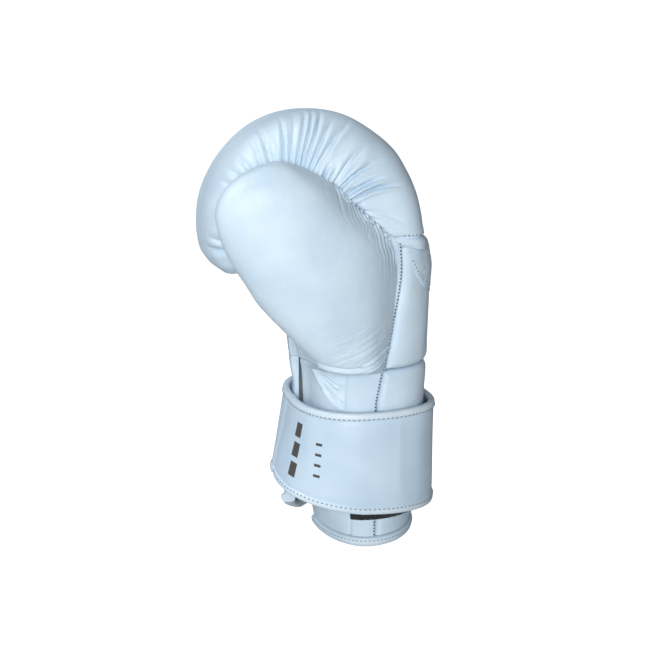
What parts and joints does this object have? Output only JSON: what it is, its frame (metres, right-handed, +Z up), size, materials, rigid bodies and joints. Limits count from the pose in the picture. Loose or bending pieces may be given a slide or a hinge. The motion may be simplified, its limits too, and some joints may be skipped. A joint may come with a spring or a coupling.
{
  "type": "boxing glove",
  "caption": "Padded leather sports glove for the right hand with a curled knuckle pad, a side thumb and a hook-and-loop wrist strap, hollow for the hand.",
  "frame": {"origin": "middle of the box round the glove, at the level of the rim of the cuff, which it stands on", "axes": "+Z up from the rim to the knuckles, -X to the palm, +X to the back of the hand, -Y to the thumb, +Y to the little finger"},
  "size_m": [0.1676, 0.1706, 0.3029],
  "materials": {
    "leather": "semi-gloss pale blue-white grained leather",
    "strap_leather": "smooth semi-gloss pale blue-white leather",
    "binding_tape": "soft pale blue-white folded tape",
    "loop_fastener": "matt black looped pile"
  },
  "bodies": {
    "root": {"knuckle_pad": "leather", "palm_panel": "leather", "thumb_pad": "leather", "back_roll": "leather", "back_pad": "leather", "wrist_pad": "leather", "cuff_thumb_side": "leather", "cuff_finger_side": "leather", "thumb_gusset": "leather", "loop_patch": "loop_fastener", "strap": "strap_leather", "strap_binding": "binding_tape", "cuff_binding": "binding_tape"}
  },
  "joints": []
}
